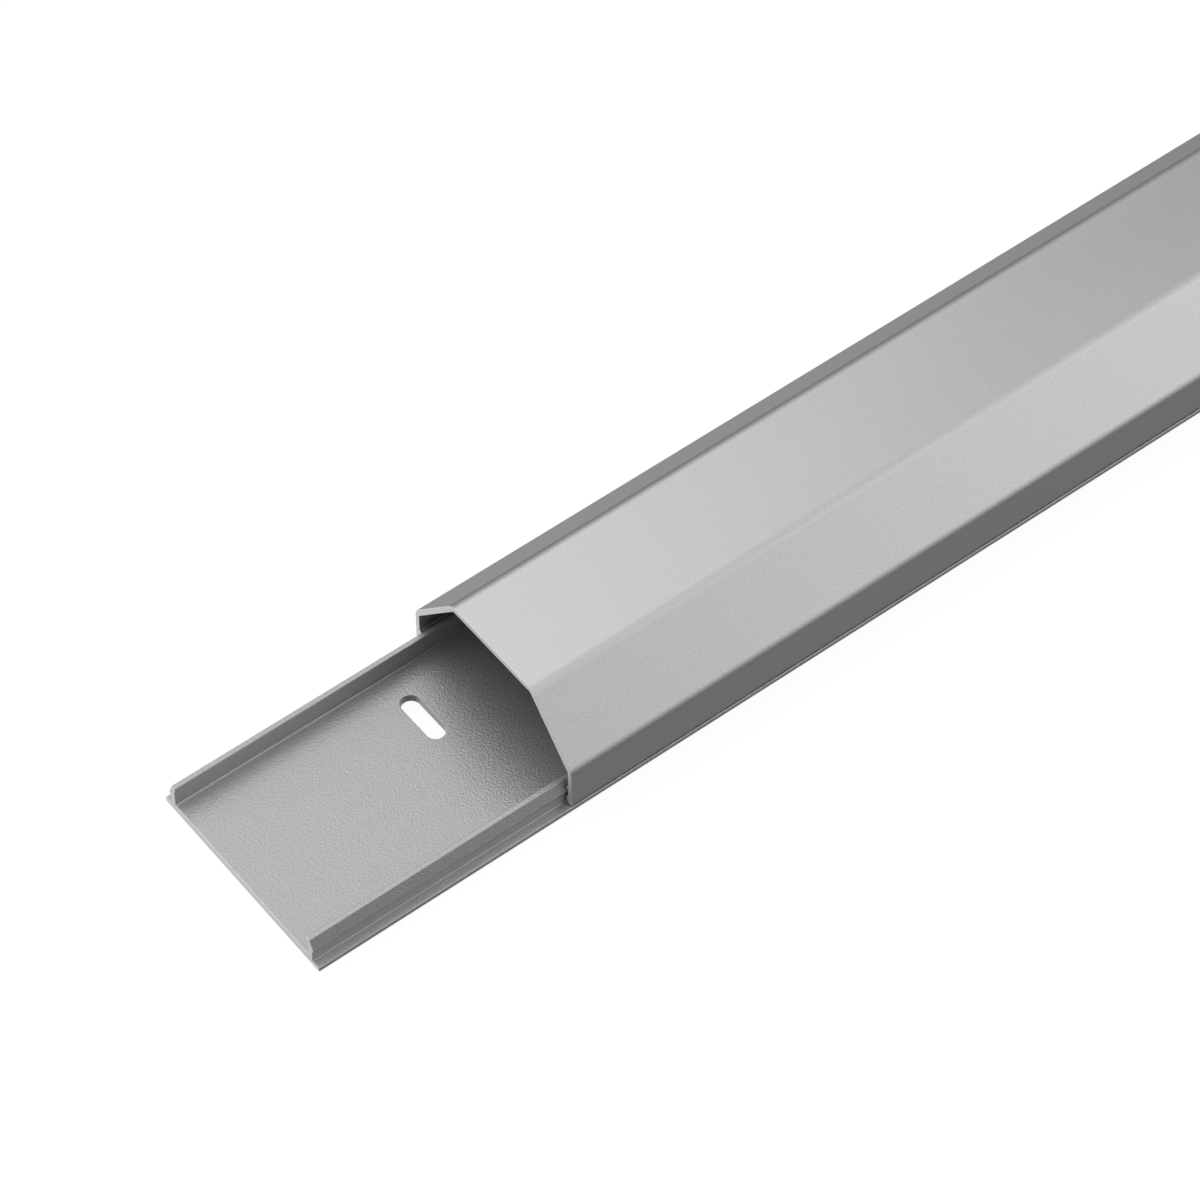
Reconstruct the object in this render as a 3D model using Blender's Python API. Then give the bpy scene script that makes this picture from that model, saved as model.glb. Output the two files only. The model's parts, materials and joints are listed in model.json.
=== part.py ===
"""Aluminium cable channel, 50 x 26 mm: a flat base rail and a clip-on, five-sided cover.

Both pieces are lengths of one constant section, so each is an outline drawn across the
channel and carried along it. X runs along the channel, Y across it and Z up. The origin is
the middle of the base rail's underside. The cover is stored slid back along the rail, and
its own origin lies on the line that it slides along.
"""

import math

import bmesh
import bpy

MM = 0.001

# Both pieces
LENGTH = 1100 * MM
HEIGHT = 26.0 * MM
SLID_BACK = 60.0 * MM
RUNNING_GAP = 0.3 * MM

# Base rail
BASE_HALF_WIDTH = 25.0 * MM
FLOOR = 2.0 * MM
FLANGE = 1.1 * MM
RIB_INNER = 21.6 * MM
RIB_OUTER = 22.9 * MM
RIB_TOP = 7.5 * MM
HEAD_INNER = 21.3 * MM
HEAD_OUTER = 22.4 * MM
HEAD_HEIGHT = 1.0 * MM
BARB_TIP = 23.4 * MM
BARB_HEIGHT = 4.7 * MM
BARB_UNDERSIDE = 3.6 * MM

# Screw slots, lying across the rail beside its middle line
SLOT_COUNT = 4
SLOT_WIDTH = 4.2 * MM
SLOT_LENGTH = 12.2 * MM
SLOT_SIDE = 9.3 * MM
SLOT_FROM_END = 50.0 * MM
SLOT_STEPS = 10

# Cover
COVER_HALF_WIDTH = 24.8 * MM
TOP_HALF_WIDTH = 12.7 * MM
LEG_TOP = 12.0 * MM
WALL = 1.3 * MM
LEG_WALL = 1.1 * MM
CATCH_TIP = RIB_OUTER + RUNNING_GAP
CATCH_TOP = BARB_UNDERSIDE - RUNNING_GAP
CATCH_LEDGE = 0.3 * MM
CATCH_FLAT = 0.6 * MM
GUIDE_TIP = 23.25 * MM
GUIDE_HEIGHT = 6.2 * MM
GUIDE_FLAT = 0.35 * MM

# Corner radii, and the number of straight steps that each is drawn with
BEND_OUTER = 3.0 * MM
BEND_INNER = 0.9 * MM
BEND_STEPS = 6
FILLET = 0.4 * MM
CORNER = 0.2 * MM
CORNER_STEPS = 2

# Turns an outline drawn on X and Y so that it stands on Y and Z and runs along X
ALONG_X = (math.pi / 2, 0.0, math.pi / 2)
WELD = 0.001 * MM


def clear_scene():
    """Remove every object that the new scene starts with."""
    for item in list(bpy.data.objects):
        bpy.data.objects.remove(item, do_unlink=True)


def make_collection(name):
    collection = bpy.data.collections.new(name)
    bpy.context.scene.collection.children.link(collection)
    return collection


def make_material(name, grey, roughness):
    """Neutral grey metal."""
    material = bpy.data.materials.new(name)
    material.use_nodes = True
    shader = material.node_tree.nodes["Principled BSDF"]
    shader.inputs["Base Color"].default_value = (grey, grey, grey, 1.0)
    shader.inputs["Roughness"].default_value = roughness
    shader.inputs["Metallic"].default_value = 1.0
    return material


def round_corner(before, corner, after, radius, steps):
    """Points of the arc that rounds one corner and meets both of its sides."""
    to_before = math.atan2(before[1] - corner[1], before[0] - corner[0])
    to_after = math.atan2(after[1] - corner[1], after[0] - corner[0])
    opening = (to_after - to_before + math.pi) % (2 * math.pi) - math.pi
    middle = to_before + opening / 2
    reach = radius / math.sin(abs(opening) / 2)
    centre = (corner[0] + reach * math.cos(middle), corner[1] + reach * math.sin(middle))
    swing = math.copysign(math.pi - abs(opening), opening)
    angles = [middle + math.pi + swing * (0.5 - step / steps) for step in range(steps + 1)]
    return [(centre[0] + radius * math.cos(angle), centre[1] + radius * math.sin(angle))
            for angle in angles]


def mirrored_outline(half):
    """Closed outline with rounded corners, from the (y, z, radius, steps) of its +Y half."""
    corners = half + [(-y, z, radius, steps) for y, z, radius, steps in reversed(half)]
    points = []
    for index, (y, z, radius, steps) in enumerate(corners):
        before = corners[index - 1]
        after = corners[(index + 1) % len(corners)]
        points += round_corner(before, (y, z), after, radius, steps)
    return points


def base_outline():
    """Floor with a thin flange and an upright, barbed rib along each side."""
    head_foot = RIB_TOP - HEAD_HEIGHT
    return mirrored_outline([
        (BASE_HALF_WIDTH, 0.0, CORNER, CORNER_STEPS),
        (BASE_HALF_WIDTH, FLANGE, CORNER, CORNER_STEPS),
        (RIB_OUTER, FLANGE, CORNER, CORNER_STEPS),
        (RIB_OUTER, BARB_UNDERSIDE, CORNER, CORNER_STEPS),
        (BARB_TIP, BARB_HEIGHT, CORNER, CORNER_STEPS),
        (HEAD_OUTER, RIB_TOP, CORNER, CORNER_STEPS),
        (HEAD_INNER, RIB_TOP, CORNER, CORNER_STEPS),
        (HEAD_INNER, head_foot, CORNER, CORNER_STEPS),
        (RIB_INNER, head_foot - RIB_INNER + HEAD_INNER, CORNER, CORNER_STEPS),
        (RIB_INNER, FLOOR, FILLET, CORNER_STEPS),
    ])


def cover_outline():
    """Two legs, two slopes and a flat top.

    Inside each leg are a catch, which goes under the base's barb, and a low guide bead above it.
    """
    run = COVER_HALF_WIDTH - TOP_HALF_WIDTH
    rise = HEIGHT - LEG_TOP
    slope = math.hypot(run, rise)
    top_inner = TOP_HALF_WIDTH - WALL * math.tan(math.atan2(rise, run) / 2)
    leg_inner = COVER_HALF_WIDTH - LEG_WALL
    leg_inner_top = LEG_TOP + (rise * LEG_WALL - slope * WALL) / run
    leg_bottom = FLANGE + RUNNING_GAP
    catch_end = CATCH_TOP - CATCH_FLAT
    guide_depth = leg_inner - GUIDE_TIP
    guide_top = GUIDE_HEIGHT + GUIDE_FLAT / 2
    guide_end = GUIDE_HEIGHT - GUIDE_FLAT / 2
    return mirrored_outline([
        (top_inner, HEIGHT - WALL, BEND_INNER, BEND_STEPS),
        (leg_inner, leg_inner_top, BEND_INNER, BEND_STEPS),
        (leg_inner, guide_top + guide_depth, CORNER, CORNER_STEPS),
        (GUIDE_TIP, guide_top, CORNER, CORNER_STEPS),
        (GUIDE_TIP, guide_end, CORNER, CORNER_STEPS),
        (leg_inner, guide_end - guide_depth, CORNER, CORNER_STEPS),
        (leg_inner, CATCH_TOP + CATCH_LEDGE, CORNER, CORNER_STEPS),
        (CATCH_TIP, CATCH_TOP, CORNER, CORNER_STEPS),
        (CATCH_TIP, catch_end, CORNER, CORNER_STEPS),
        (leg_inner, leg_bottom, CORNER, CORNER_STEPS),
        (COVER_HALF_WIDTH, leg_bottom, CORNER, CORNER_STEPS),
        (COVER_HALF_WIDTH, LEG_TOP, BEND_OUTER, BEND_STEPS),
        (TOP_HALF_WIDTH, HEIGHT, BEND_OUTER, BEND_STEPS),
    ])


def slot_outline():
    """Straight slot along Y with a half circle at each end."""
    radius = SLOT_WIDTH / 2
    straight = SLOT_LENGTH / 2 - radius
    angles = [math.pi * step / SLOT_STEPS for step in range(SLOT_STEPS + 1)]
    far_end = [(radius * math.cos(a), straight + radius * math.sin(a)) for a in angles]
    near_end = [(-x, -y) for x, y in far_end]
    return far_end + near_end


def extrude_outline(name, points, length, location, rotation, collection):
    """Solid of one constant outline, as a closed mesh object centred on its location."""
    curve = bpy.data.curves.new(name + "_outline", "CURVE")
    curve.dimensions = "2D"
    curve.fill_mode = "BOTH"
    curve.extrude = length / 2
    spline = curve.splines.new("POLY")
    spline.points.add(len(points) - 1)
    for point, (x, y) in zip(spline.points, points):
        point.co = (x, y, 0.0, 1.0)
    spline.use_cyclic_u = True
    drawn = bpy.data.objects.new(name + "_outline", curve)
    drawn.location = location
    drawn.rotation_euler = rotation
    collection.objects.link(drawn)
    bpy.context.view_layer.update()

    evaluated = drawn.evaluated_get(bpy.context.evaluated_depsgraph_get())
    mesh = bpy.data.meshes.new_from_object(evaluated)
    mesh.name = name
    welded = bmesh.new()
    welded.from_mesh(mesh)
    bmesh.ops.remove_doubles(welded, verts=welded.verts, dist=WELD)
    bmesh.ops.recalc_face_normals(welded, faces=welded.faces)
    welded.to_mesh(mesh)
    welded.free()

    solid = bpy.data.objects.new(name, mesh)
    solid.matrix_world = drawn.matrix_world
    collection.objects.link(solid)
    bpy.data.objects.remove(drawn, do_unlink=True)
    return solid


def shade_bends(solid):
    """Shade the rounded bends smooth and keep the real edges sharp."""
    solid.data.shade_smooth()
    solid.data.set_sharp_from_angle(angle=math.radians(30))


def cut_slots(base, cutters):
    """Cut the row of screw slots through the base's floor."""
    first = SLOT_FROM_END - LENGTH / 2
    pitch = (LENGTH - 2 * SLOT_FROM_END) / (SLOT_COUNT - 1)
    for index in range(SLOT_COUNT):
        place = (first + pitch * index, SLOT_SIDE, FLOOR / 2)
        cutter = extrude_outline(
            f"slot_cutter_{index + 1}", slot_outline(), 3 * FLOOR, place, (0, 0, 0), cutters)
        cutter.hide_render = True
        cutter.display_type = "WIRE"
        cut = base.modifiers.new(f"screw_slot_{index + 1}", "BOOLEAN")
        cut.operation = "DIFFERENCE"
        cut.solver = "EXACT"
        cut.object = cutter


def build():
    clear_scene()
    parts = make_collection("cable_channel")
    cutters = make_collection("slot_cutters")

    base = extrude_outline("base_rail", base_outline(), LENGTH, (0, 0, 0), ALONG_X, parts)
    base.data.materials.append(make_material("base_aluminium", 0.55, 0.50))
    shade_bends(base)
    cut_slots(base, cutters)

    cover = extrude_outline("cover", cover_outline(), LENGTH, (SLID_BACK, 0, 0), ALONG_X, parts)
    cover.data.materials.append(make_material("cover_aluminium", 0.64, 0.50))
    shade_bends(cover)


build()
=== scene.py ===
"""Looks of an angular aluminium cable channel: a base rail and the cover that slides on it.

Each piece is a length of one constant section, coated silver and then sawn to length. Lengths
are in metres, X runs along the channel, Y across it and Z up.
"""

import json
import math

import bpy
import numpy as np
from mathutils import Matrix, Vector


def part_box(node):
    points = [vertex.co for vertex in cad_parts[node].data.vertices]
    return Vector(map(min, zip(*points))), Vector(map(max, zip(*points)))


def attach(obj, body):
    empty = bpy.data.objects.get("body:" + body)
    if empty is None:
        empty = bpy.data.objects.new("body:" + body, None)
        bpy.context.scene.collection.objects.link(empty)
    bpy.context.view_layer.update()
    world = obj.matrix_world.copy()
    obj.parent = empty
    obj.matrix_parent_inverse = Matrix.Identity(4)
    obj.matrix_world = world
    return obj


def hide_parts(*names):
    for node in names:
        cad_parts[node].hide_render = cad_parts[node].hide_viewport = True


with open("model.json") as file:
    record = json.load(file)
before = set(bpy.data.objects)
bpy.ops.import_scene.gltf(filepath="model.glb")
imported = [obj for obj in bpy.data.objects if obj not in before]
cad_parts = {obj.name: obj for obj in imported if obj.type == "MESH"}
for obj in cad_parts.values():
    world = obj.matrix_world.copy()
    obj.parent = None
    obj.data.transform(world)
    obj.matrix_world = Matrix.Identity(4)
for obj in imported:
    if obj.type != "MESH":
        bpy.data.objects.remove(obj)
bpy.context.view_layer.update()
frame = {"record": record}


# Base rail: the flat part that is screwed or glued to the wall, pressed through a die as one
# long section of soft aluminium. Two upright ribs near its long edges carry the barbs that the
# cover clips over. Its slots are punched through the floor before it is coated.
MM = 0.001
rail_low, rail_high = (np.array(corner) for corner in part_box("base_rail"))
floor_top = 2.0 * MM
flange_top = 1.1 * MM
rib_inner = 21.6 * MM
rib_outer = 22.9 * MM
head_inner = 21.3 * MM
head_outer = 22.4 * MM
head_foot = 6.5 * MM
barb_tip = 23.4 * MM
barb_height = 4.7 * MM
barb_underside = 3.6 * MM
fillet = 0.4 * MM
edge_radius = 0.2 * MM
foot_radius = 0.08 * MM
broken_edge = 0.07 * MM
arc_steps = 10
edge_steps = 4

# slot_straight is half the length of a slot's straight sides. The faces round a slot fit into
# a window of the floor's grid, which reaches slot_margin past the slot on each side.
slot_radius = 2.1 * MM
slot_straight = 4.0 * MM
slot_margin = 1.6 * MM
slot_rim = 0.16 * MM
slot_steps_x = 8
slot_steps_y = 18


def mirrored(half):
    """The corners of a half section, then their mirror images in reverse order."""
    half = np.array(half)
    return np.concatenate([half, half[::-1] * [-1, 1, 1]])


def rounded(corners):
    """Outline with rounded corners, and the way out of the metal at each of its points.

    A row of corners is y, z and a radius. The circle that touches both sides of a corner has its
    centre on the line that halves the corner's angle, at radius / sin(half the angle). The arc
    swings from one touching point to the other as a weighted sum of the two directions. The
    outline runs anticlockwise, so a corner that turns right is hollow, and its way out points
    at the arc's centre. Both results have an axis for the corners and one for an arc's points.
    """
    corner, radius = corners[:, :2], corners[:, 2:]
    back = np.roll(corner, 1, axis=0) - corner
    ahead = np.roll(corner, -1, axis=0) - corner
    back /= np.linalg.norm(back, axis=1, keepdims=True)
    ahead /= np.linalg.norm(ahead, axis=1, keepdims=True)
    half = np.arccos(np.sum(back * ahead, axis=1, keepdims=True)) / 2
    middle = (back + ahead) / np.linalg.norm(back + ahead, axis=1, keepdims=True)
    centre = corner + middle * radius / np.sin(half)
    first = (back * np.cos(half) - middle) / np.sin(half)
    last = (ahead * np.cos(half) - middle) / np.sin(half)
    swing = (math.pi - 2 * half)[:, None]
    share = np.linspace(0, 1, arc_steps + 1)[None, :, None]
    spoke = (np.sin((1 - share) * swing) * first[:, None]
             + np.sin(share * swing) * last[:, None]) / np.sin(swing)
    turns_left = ahead[:, 1] * back[:, 0] - ahead[:, 0] * back[:, 1] < 0
    out = np.where(turns_left[:, None, None], spoke, -spoke)
    return centre[:, None] + radius[:, None] * spoke, out


def swept(outline, out, low_x, middle_x, high_x):
    """Grid of the outline carried along X, drawn in round each sawn end, and its normals.

    Over the last broken_edge of an end the outline moves against its way out by
    1 - cos(lean) while X moves on by sin(lean), which makes the edge a quarter round.
    """
    lean = np.linspace(math.pi / 2, 0, edge_steps + 1)
    margin = broken_edge * (1 - np.sin(lean))
    draw_in = broken_edge * (1 - np.cos(lean))
    straight = np.zeros(len(middle_x))
    x = np.concatenate([low_x + margin, middle_x, high_x - margin[::-1]])[:, None, None]
    inset = np.concatenate([draw_in, straight, draw_in[::-1]])[:, None, None]
    tilt = np.concatenate([-lean, straight, lean[::-1]])[:, None, None]
    across = outline[None] - inset * out[None]
    turned = np.cos(tilt) * out[None]
    column = across.shape[:2] + (1,)
    points = np.concatenate([np.broadcast_to(x, column), across], axis=2)
    normals = np.concatenate([np.broadcast_to(np.sin(tilt), column), turned], axis=2)
    return points, normals


def quads(index):
    """Faces between an index grid's rows. The last column is joined to the first."""
    ahead = np.roll(index, -1, axis=1)
    return np.stack([index[:-1], ahead[:-1], ahead[1:], index[1:]], axis=2)


def slot_lining(centre, border):
    """Grid of one slot's wall and rounded rims, from the border of the window round it.

    A slot is all that lies within slot_radius of a short middle line along Y. Each border point
    is drawn straight towards the nearest point of that line, to the distances that the lining's
    profile gives: over the upper rim, down the wall and out over the lower rim.
    """
    lean = np.linspace(0, math.pi / 2, edge_steps + 1)
    reach = slot_radius + slot_rim * (1 - np.sin(lean))
    height = floor_top - slot_rim * (1 - np.cos(lean))
    distance = np.concatenate([reach, reach[::-1]])[:, None, None]
    z = np.concatenate([height, floor_top - height[::-1]])[:, None, None]
    up = np.concatenate([np.cos(lean), -np.cos(lean[::-1])])[:, None, None]
    inward = np.concatenate([np.sin(lean), np.sin(lean[::-1])])[:, None, None]
    offset = border - centre
    nearest = np.clip(offset, [0, -slot_straight], [0, slot_straight])
    spoke = offset - nearest
    spoke /= np.linalg.norm(spoke, axis=1, keepdims=True)
    flat = centre + nearest + distance * spoke
    column = flat.shape[:2] + (1,)
    points = np.concatenate([flat, np.broadcast_to(z, column)], axis=2)
    normals = np.concatenate([-inward * spoke, np.broadcast_to(up, column)], axis=2)
    return points, normals


def sawn_length(name, points, normals, shell, ends, lining, materials):
    """Closed mesh of a swept shell, the lining of its slots and its two ends.

    Shell faces that are set to -1 are left out, and so is every point that no face uses. The
    ends and the broken edges round them take the second material.
    """
    bare_rows = np.zeros(shell.shape[:1], bool)
    bare_rows[:edge_steps] = bare_rows[-edge_steps:] = True
    bare = np.broadcast_to(bare_rows[:, None], shell.shape[:2])
    kept = shell[:, :, 0] >= 0
    sides = np.concatenate([shell[kept], lining])
    sawn = np.concatenate([bare[kept], np.zeros(len(lining)), np.ones(len(ends))]).astype(int)
    used = np.unique(sides)
    renumbered = np.zeros(len(points), int)
    renumbered[used] = np.arange(len(used))
    mesh = bpy.data.meshes.new(name)
    mesh.from_pydata(points[used], [], renumbered[sides].tolist() + renumbered[ends].tolist())
    for material in materials:
        mesh.materials.append(material)
    mesh.polygons.foreach_set("material_index", sawn)
    mesh.shade_smooth()
    mesh.normals_split_custom_set_from_vertices(normals[used])
    piece = bpy.data.objects.new(name, mesh)
    bpy.context.scene.collection.objects.link(piece)
    return piece


class Socket:
    """Output of a shader node. Arithmetic on it adds Math nodes."""

    def __init__(self, nodes, output):
        self.nodes = nodes
        self.output = output

    def __add__(self, other):
        return self.nodes.math("ADD", self, other)

    def __sub__(self, other):
        return self.nodes.math("SUBTRACT", self, other)

    def __rsub__(self, other):
        return self.nodes.math("SUBTRACT", other, self)

    def __mul__(self, other):
        return self.nodes.math("MULTIPLY", self, other)

    def __pow__(self, other):
        return self.nodes.math("POWER", self, other)

    def __rpow__(self, other):
        return self.nodes.math("POWER", other, self)

    __radd__ = __add__
    __rmul__ = __mul__


class Nodes:
    """The nodes of a material or of the world, around the one shader that it starts with."""

    def __init__(self, owner, shader="Principled BSDF"):
        owner.use_nodes = True
        self.owner = owner
        self.tree = owner.node_tree
        self.shader = self.tree.nodes[shader]

    def feed(self, node, inputs):
        """Set a node's sockets, or link those whose value comes from another node."""
        for key, value in inputs.items():
            if isinstance(value, Socket):
                self.tree.links.new(value.output, node.inputs[key])
            else:
                node.inputs[key].default_value = value

    def add(self, kind, settings={}, inputs={}, output=0):
        """Add a node, make its settings, then feed its sockets. Returns one of its outputs."""
        made = self.tree.nodes.new(kind)
        for key, value in settings.items():
            setattr(made, key, value)
        self.feed(made, inputs)
        return Socket(self, made.outputs[output])

    def math(self, operation, *values):
        """Add a Math node on values or outputs, in the order that its sockets have."""
        return self.add("ShaderNodeMath", {"operation": operation}, dict(enumerate(values)))

    def noise(self, place, size, detail=2.0, stretch=(1, 1, 1), start=(0, 0, 0)):
        """Noise from -0.5 to 0.5 in soft spots about size across, stretched as given."""
        scale = [1 / (size * factor) for factor in stretch]
        moved = self.add("ShaderNodeMapping", {}, {
            "Vector": place, "Location": start, "Scale": scale})
        return self.add("ShaderNodeTexNoise", {}, {
            "Vector": moved, "Scale": 1.0, "Detail": detail, "Roughness": 0.5}) - 0.5


cloud_size = 14 * MM
peel_size = 0.42 * MM
flake_size = 0.2 * MM


def silver_coat(name, grey, metal, roughness, peel_depth, start):
    """Satin silver powder: metal flakes in a clear binder, baked to a fine orange-peel skin.

    Weighted noises vary it about its grey and roughness: clouds that are drawn out along the
    channel, the peel, and the flakes, which lie at slightly different tilts. The bump is
    peel_depth times the sum of the peel and a share of the flakes.
    """
    coat = Nodes(bpy.data.materials.new(name))
    place = coat.add("ShaderNodeTexCoord", output="Object")
    clouds = coat.noise(place, cloud_size, 0.0, stretch=(4, 1, 1), start=start)
    peel = coat.noise(place, peel_size, 1.0, start=start)
    flakes = coat.noise(place, flake_size, 0.0, start=start)
    bump = coat.add("ShaderNodeBump", {}, {
        "Strength": 1.0, "Distance": 1.0, "Height": peel_depth * (peel + 0.3 * flakes)})
    coat.feed(coat.shader, {
        "Base Color": grey * (1 + 0.04 * clouds + 0.14 * flakes + 0.08 * peel),
        "Metallic": metal,
        "Roughness": roughness + 0.03 * clouds + 0.03 * peel,
        "Normal": bump,
    })
    return coat.owner


bare_grey = 0.905
bare_metal = 0.65
bare_roughness = 0.50
tooth_pitch = 0.22 * MM
groove_depth = 0.006 * MM
blotch_size = 1.5 * MM


def sawn_aluminium(name, blade_middle):
    """Bare aluminium where the saw went through, brighter than the coat.

    The blade's teeth leave arcs round its middle, so their lines are noise on the distance from
    there. They shade, roughen and groove the metal, and wider blotches shade and roughen it too.
    """
    cut = Nodes(bpy.data.materials.new(name))
    place = cut.add("ShaderNodeTexCoord", output="Object")
    across = cut.add(
        "ShaderNodeVectorMath", {"operation": "MULTIPLY"}, {0: place, 1: (0.0, 1.0, 1.0)})
    distance = cut.add(
        "ShaderNodeVectorMath", {"operation": "DISTANCE"}, {0: across, 1: blade_middle}, "Value")
    teeth = cut.add("ShaderNodeTexNoise", {"noise_dimensions": "1D"}, {
        "W": distance * (1 / tooth_pitch), "Scale": 1.0, "Detail": 2.0}) - 0.5
    blotch = cut.noise(place, blotch_size)
    bump = cut.add("ShaderNodeBump", {}, {
        "Strength": 1.0, "Distance": 1.0, "Height": groove_depth * teeth})
    cut.feed(cut.shader, {
        "Base Color": bare_grey + 0.08 * teeth + 0.05 * blotch,
        "Metallic": bare_metal,
        "Roughness": bare_roughness + 0.12 * teeth + 0.08 * blotch,
        "Normal": bump,
    })
    return cut.owner


slots = np.array([opening["box_m"] for opening in frame["record"]["physics"]["openings"]
                  if opening["name"].startswith("screw_slot")]).mean(axis=1)
window_x = np.linspace(-1, 1, slot_steps_x + 1) * (slot_radius + slot_margin)
window_y = np.linspace(1, -1, slot_steps_y + 1) * (slot_straight + slot_radius + slot_margin)
window_y += slots[0, 1]

rail_arcs, rail_out = rounded(mirrored([
    (rail_high[1], rail_low[2], foot_radius),
    (rail_high[1], flange_top, edge_radius),
    (rib_outer, flange_top, edge_radius),
    (rib_outer, barb_underside, edge_radius),
    (barb_tip, barb_height, edge_radius),
    (head_outer, rail_high[2], edge_radius),
    (head_inner, rail_high[2], edge_radius),
    (head_inner, head_foot, edge_radius),
    (rib_inner, head_foot - rib_inner + head_inner, edge_radius),
    (rib_inner, floor_top, fillet),
]))
half_way = len(rail_arcs) // 2
on_floor = np.stack([window_y, np.full(len(window_y), floor_top)], axis=1)
on_underside = np.stack([window_y[::-1], np.full(len(window_y), rail_low[2])], axis=1)
rail_outline = np.concatenate([
    rail_arcs[:half_way].reshape(-1, 2), on_floor,
    rail_arcs[half_way:].reshape(-1, 2), on_underside])
rail_ways_out = np.concatenate([
    rail_out[:half_way].reshape(-1, 2), np.broadcast_to([0, 1], on_floor.shape),
    rail_out[half_way:].reshape(-1, 2), np.broadcast_to([0, -1], on_underside.shape)])
rail_grid, grid_normals = swept(
    rail_outline, rail_ways_out, rail_low[0], (slots[:, :1] + window_x).ravel(), rail_high[0])
rail_index = np.arange(rail_grid[:, :, 0].size).reshape(rail_grid.shape[:2])
rail_shell = quads(rail_index)

# Each slot takes the place of a window's faces, above and below. Its lining is joined to the
# window's border, which round_x and round_y go once round in grid steps.
up_x = np.arange(slot_steps_x)
up_y = np.arange(slot_steps_y)
round_x = np.concatenate([0 * up_y, up_x, 0 * up_y + slot_steps_x, slot_steps_x - up_x])
round_y = np.concatenate([up_y, 0 * up_x + slot_steps_y, slot_steps_y - up_y, 0 * up_x])
above = half_way * (arc_steps + 1)
below = rail_index.shape[1] - len(window_y)
rail_points = [rail_grid.reshape(-1, 3)]
rail_normals = [grid_normals.reshape(-1, 3)]
rail_linings = []
for number, slot in enumerate(slots):
    station = edge_steps + 1 + number * len(window_x)
    upper = rail_index[station + round_x, above + round_y]
    lower = rail_index[station + round_x, below + slot_steps_y - round_y]
    lining, lining_normals = slot_lining(slot[:2], rail_points[0][upper, :2])
    inner = sum(map(len, rail_points)) + np.arange(lining[:, :, 0].size)
    inner = inner.reshape(lining.shape[:2])
    rail_linings.append(quads(np.concatenate([upper[None], inner, lower[None]])).reshape(-1, 4))
    rail_points.append(lining.reshape(-1, 3))
    rail_normals.append(lining_normals.reshape(-1, 3))
    rail_shell[station:station + slot_steps_x, above:above + slot_steps_y] = -1
    rail_shell[station:station + slot_steps_x, below:below + slot_steps_y] = -1

rail = sawn_length(
    "coated_base_rail", np.concatenate(rail_points), np.concatenate(rail_normals), rail_shell,
    np.stack([rail_index[0, ::-1], rail_index[-1]]), np.concatenate(rail_linings), [
        silver_coat("base_rail_coat", grey=0.52, metal=0.8, roughness=0.44,
                    peel_depth=0.08 * MM, start=(0, 0, 0)),
        sawn_aluminium("base_rail_cut", blade_middle=(0.0, 0.09, -0.12))])
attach(rail, "base")
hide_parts("base_rail")


# Cover: a second aluminium section with two legs, two slopes and a flat top, sprung over the
# barbs of the base rail. A catch inside the foot of each leg holds it, under a low guide bead,
# and it can slide along the rail. It is pressed, coated and sawn as the rail is.
cover_low, cover_high = (np.array(corner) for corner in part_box("cover"))
top_half_width = 12.7 * MM
leg_top = 12.0 * MM
wall = 1.3 * MM
leg_wall = 1.1 * MM
catch_tip = 23.2 * MM
catch_top = 3.3 * MM
catch_ledge = 0.3 * MM
catch_flat = 0.6 * MM
guide_tip = 23.25 * MM
guide_top = 6.375 * MM
guide_end = 6.025 * MM
bend_outer = 3.0 * MM
bend_inner = 0.9 * MM

run = cover_high[1] - top_half_width
rise = cover_high[2] - leg_top
top_inner = top_half_width - wall * math.tan(math.atan2(rise, run) / 2)
leg_inner = cover_high[1] - leg_wall
leg_inner_top = leg_top + (rise * leg_wall - math.hypot(run, rise) * wall) / run

cover_arcs, cover_out = rounded(mirrored([
    (top_inner, cover_high[2] - wall, bend_inner),
    (leg_inner, leg_inner_top, bend_inner),
    (leg_inner, guide_top + leg_inner - guide_tip, edge_radius),
    (guide_tip, guide_top, edge_radius),
    (guide_tip, guide_end, edge_radius),
    (leg_inner, guide_end - leg_inner + guide_tip, edge_radius),
    (leg_inner, catch_top + catch_ledge, edge_radius),
    (catch_tip, catch_top, edge_radius),
    (catch_tip, catch_top - catch_flat, edge_radius),
    (leg_inner, cover_low[2], edge_radius),
    (cover_high[1], cover_low[2], edge_radius),
    (cover_high[1], leg_top, bend_outer),
    (top_half_width, cover_high[2], bend_outer),
]))
cover_points, cover_normals = swept(
    cover_arcs.reshape(-1, 2), cover_out.reshape(-1, 2), cover_low[0], np.zeros(0), cover_high[0])
cover_index = np.arange(cover_points[:, :, 0].size).reshape(cover_points.shape[:2])
# It has no slots to line.
no_lining = np.zeros((0, 4), int)
cover = sawn_length(
    "coated_cover", cover_points.reshape(-1, 3), cover_normals.reshape(-1, 3),
    quads(cover_index), np.stack([cover_index[0, ::-1], cover_index[-1]]), no_lining, [
        silver_coat("cover_coat", grey=0.64, metal=1.0, roughness=0.40,
                    peel_depth=0.02 * MM, start=(7, 3, 1)),
        sawn_aluminium("cover_cut", blade_middle=(0.0, -0.07, -0.14))])
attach(cover, "cover")
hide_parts("cover")


# Table: a wide matt sheet just below the channel, turned up all round far away, so that it is
# also the backdrop. Most of its white is a glow of its own. Light that is on its way to the
# channel passes through it, so that the room lights the channel from below too.
table_rim = 12.0
table_turn = 3.0
table_drop = 0.05 * MM
table_shade = 0.15
table_glow = 0.9
flat_rings = [0.02, 1.0, 4.0]
steps_round = 96
steps_up = 12

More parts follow.
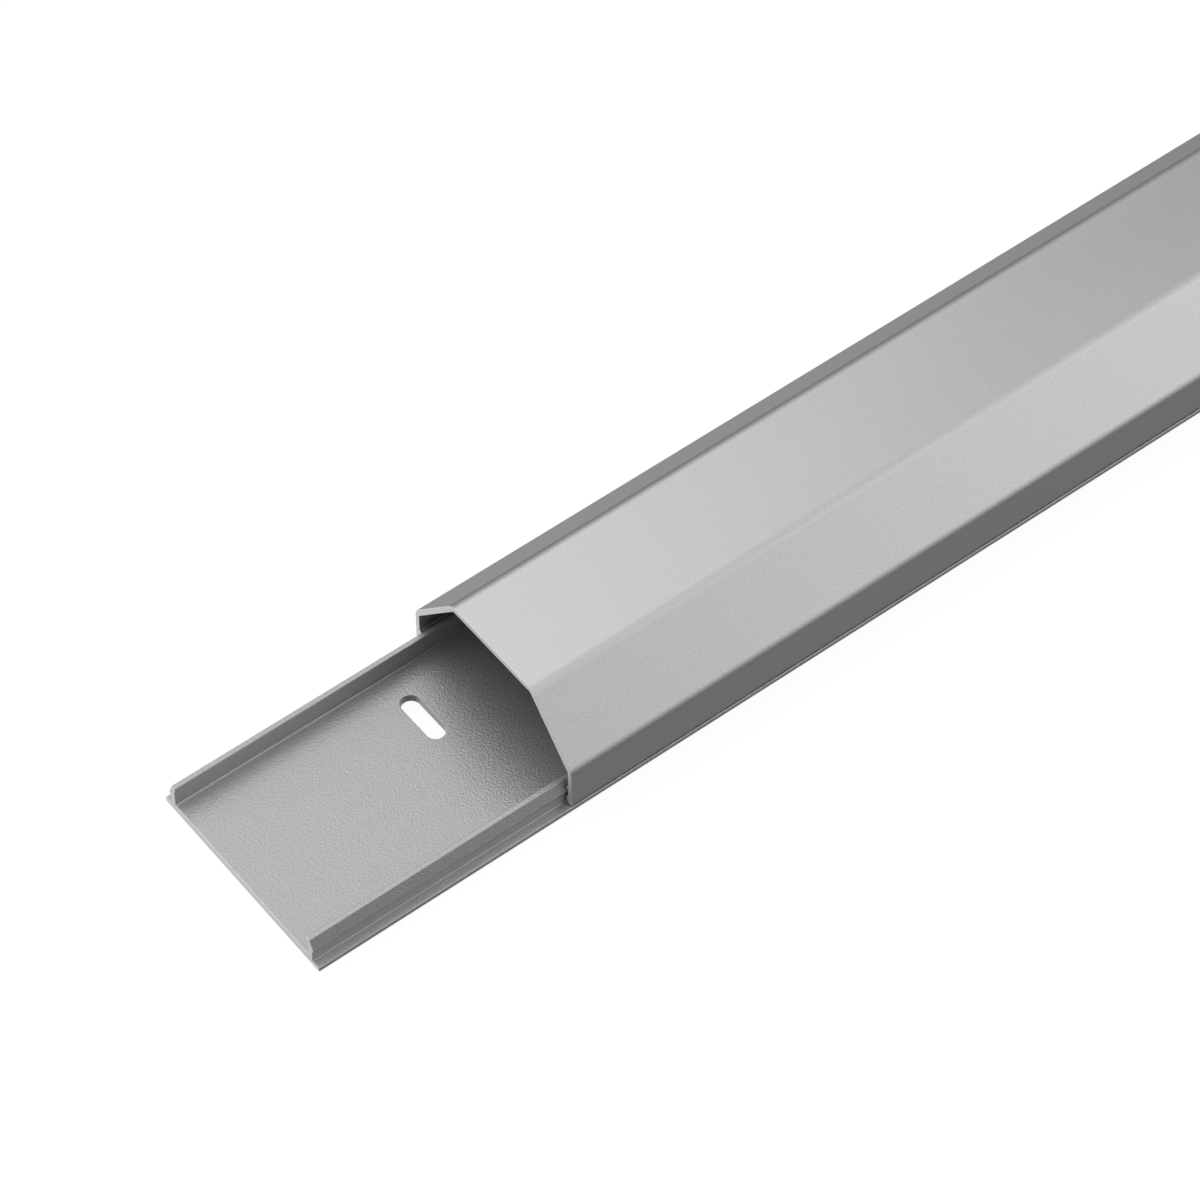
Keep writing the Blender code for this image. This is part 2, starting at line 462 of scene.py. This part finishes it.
around = np.linspace(0, 2 * math.pi, steps_round, endpoint=False)
climb = np.linspace(0, math.pi / 2, steps_up + 1)
ring_radius = np.concatenate([flat_rings, table_rim + table_turn * (np.sin(climb) - 1)])
ring_height = np.concatenate([np.zeros(len(flat_rings)), table_turn * (1 - np.cos(climb))])
table_points = np.stack([
    ring_radius[:, None] * np.cos(around), ring_radius[:, None] * np.sin(around),
    np.broadcast_to(ring_height[:, None] - table_drop, (len(ring_radius), steps_round))], axis=2)
table_index = np.arange(table_points[:, :, 0].size).reshape(table_points.shape[:2])
table_mesh = bpy.data.meshes.new("pale_table")
table_mesh.from_pydata(
    table_points.reshape(-1, 3), [],
    quads(table_index)[:, :, ::-1].reshape(-1, 4).tolist() + [table_index[0].tolist()])
table_mesh.shade_smooth()
table = bpy.data.objects.new("pale_table", table_mesh)
bpy.context.scene.collection.objects.link(table)
white = Nodes(bpy.data.materials.new("pale_table"))
white.feed(white.shader, {
    "Base Color": (table_shade, table_shade, table_shade, 1.0),
    "Roughness": 1.0, "Specular IOR Level": 0.0,
    "Emission Color": (1.0, 1.0, 1.0, 1.0), "Emission Strength": table_glow})
table_mesh.materials.append(white.owner)
table.visible_diffuse = False
table.visible_glossy = False
table.visible_shadow = False


# Lights: soft light from the room all round, and one weak softbox over the photographed end.
# A glow of the room is brightest at its middle and fades to nothing a quarter turn away.
even_light = 0.12
glow_power = 8
room = Nodes(bpy.data.worlds.new("room"), "Background")
way = room.add("ShaderNodeTexCoord", output="Generated")


def direction(height, heading):
    """Unit vector from a height above the table and a heading from +X towards +Y, in degrees.

    Its X and Y are the heading's cosine and sine, both times the height's cosine, and its Z is
    the height's sine.
    """
    up = math.radians(height)
    turn = math.radians(heading)
    return Vector((math.cos(turn) * math.cos(up), math.sin(turn) * math.cos(up), math.sin(up)))


def glow(height, heading, strength):
    """Light from one part of the room, whose middle lies at a height and a heading in degrees.

    It is strength times the cosine of the angle off that middle, raised to glow_power.
    """
    facing = room.add(
        "ShaderNodeVectorMath", {"operation": "DOT_PRODUCT"},
        {0: way, 1: direction(height, heading)}, "Value")
    return strength * room.math("MAXIMUM", facing, 0.0) ** glow_power


ceiling = glow(90, 0, 1.05)
windows = glow(40, 90, 0.75) + glow(40, 135, 0.95) + glow(40, 180, 0.45) + glow(40, 315, 0.55)
walls = glow(10, 160, 0.65) + glow(10, 320, 1.3)
from_table = glow(-25, 120, 1.0) + glow(-65, 50, 1.1)
room.feed(room.shader, {"Color": even_light + ceiling + windows + walls + from_table})
bpy.context.scene.world = room.owner

lit_end = Vector((-0.47, 0.0, 0.0))
lamp_distance = 0.8
lamp_way = direction(59, 64)
softbox = bpy.data.lights.new("softbox", "AREA")
softbox.shape = "SQUARE"
softbox.size = 0.45
softbox.energy = 0.38
lamp = bpy.data.objects.new("softbox", softbox)
lamp.location = lit_end + lamp_distance * lamp_way
lamp.rotation_euler = (-lamp_way).to_track_quat("-Z", "Y").to_euler()
lamp.visible_camera = False
bpy.context.scene.collection.objects.link(lamp)


# Camera: held level and tilted down at the end that the cover is slid back from, which is the
# photograph's viewing angle. The middle of its picture is the point aim on the table.
aim = Vector((-0.45447, 0.01197, 0.0))
distance = 1.06966
tilt_down = 52.639
heading = 52.131
forward = direction(-tilt_down, heading)
lens = bpy.data.cameras.new("camera")
lens.sensor_width = 36.0
lens.lens = 162.4
lens.clip_start = 0.05
lens.clip_end = 50.0
camera = bpy.data.objects.new("camera", lens)
camera.location = aim - distance * forward
camera.rotation_euler = forward.to_track_quat("-Z", "Y").to_euler()
bpy.context.scene.collection.objects.link(camera)
bpy.context.scene.camera = camera
bpy.context.scene.view_settings.view_transform = "Standard"
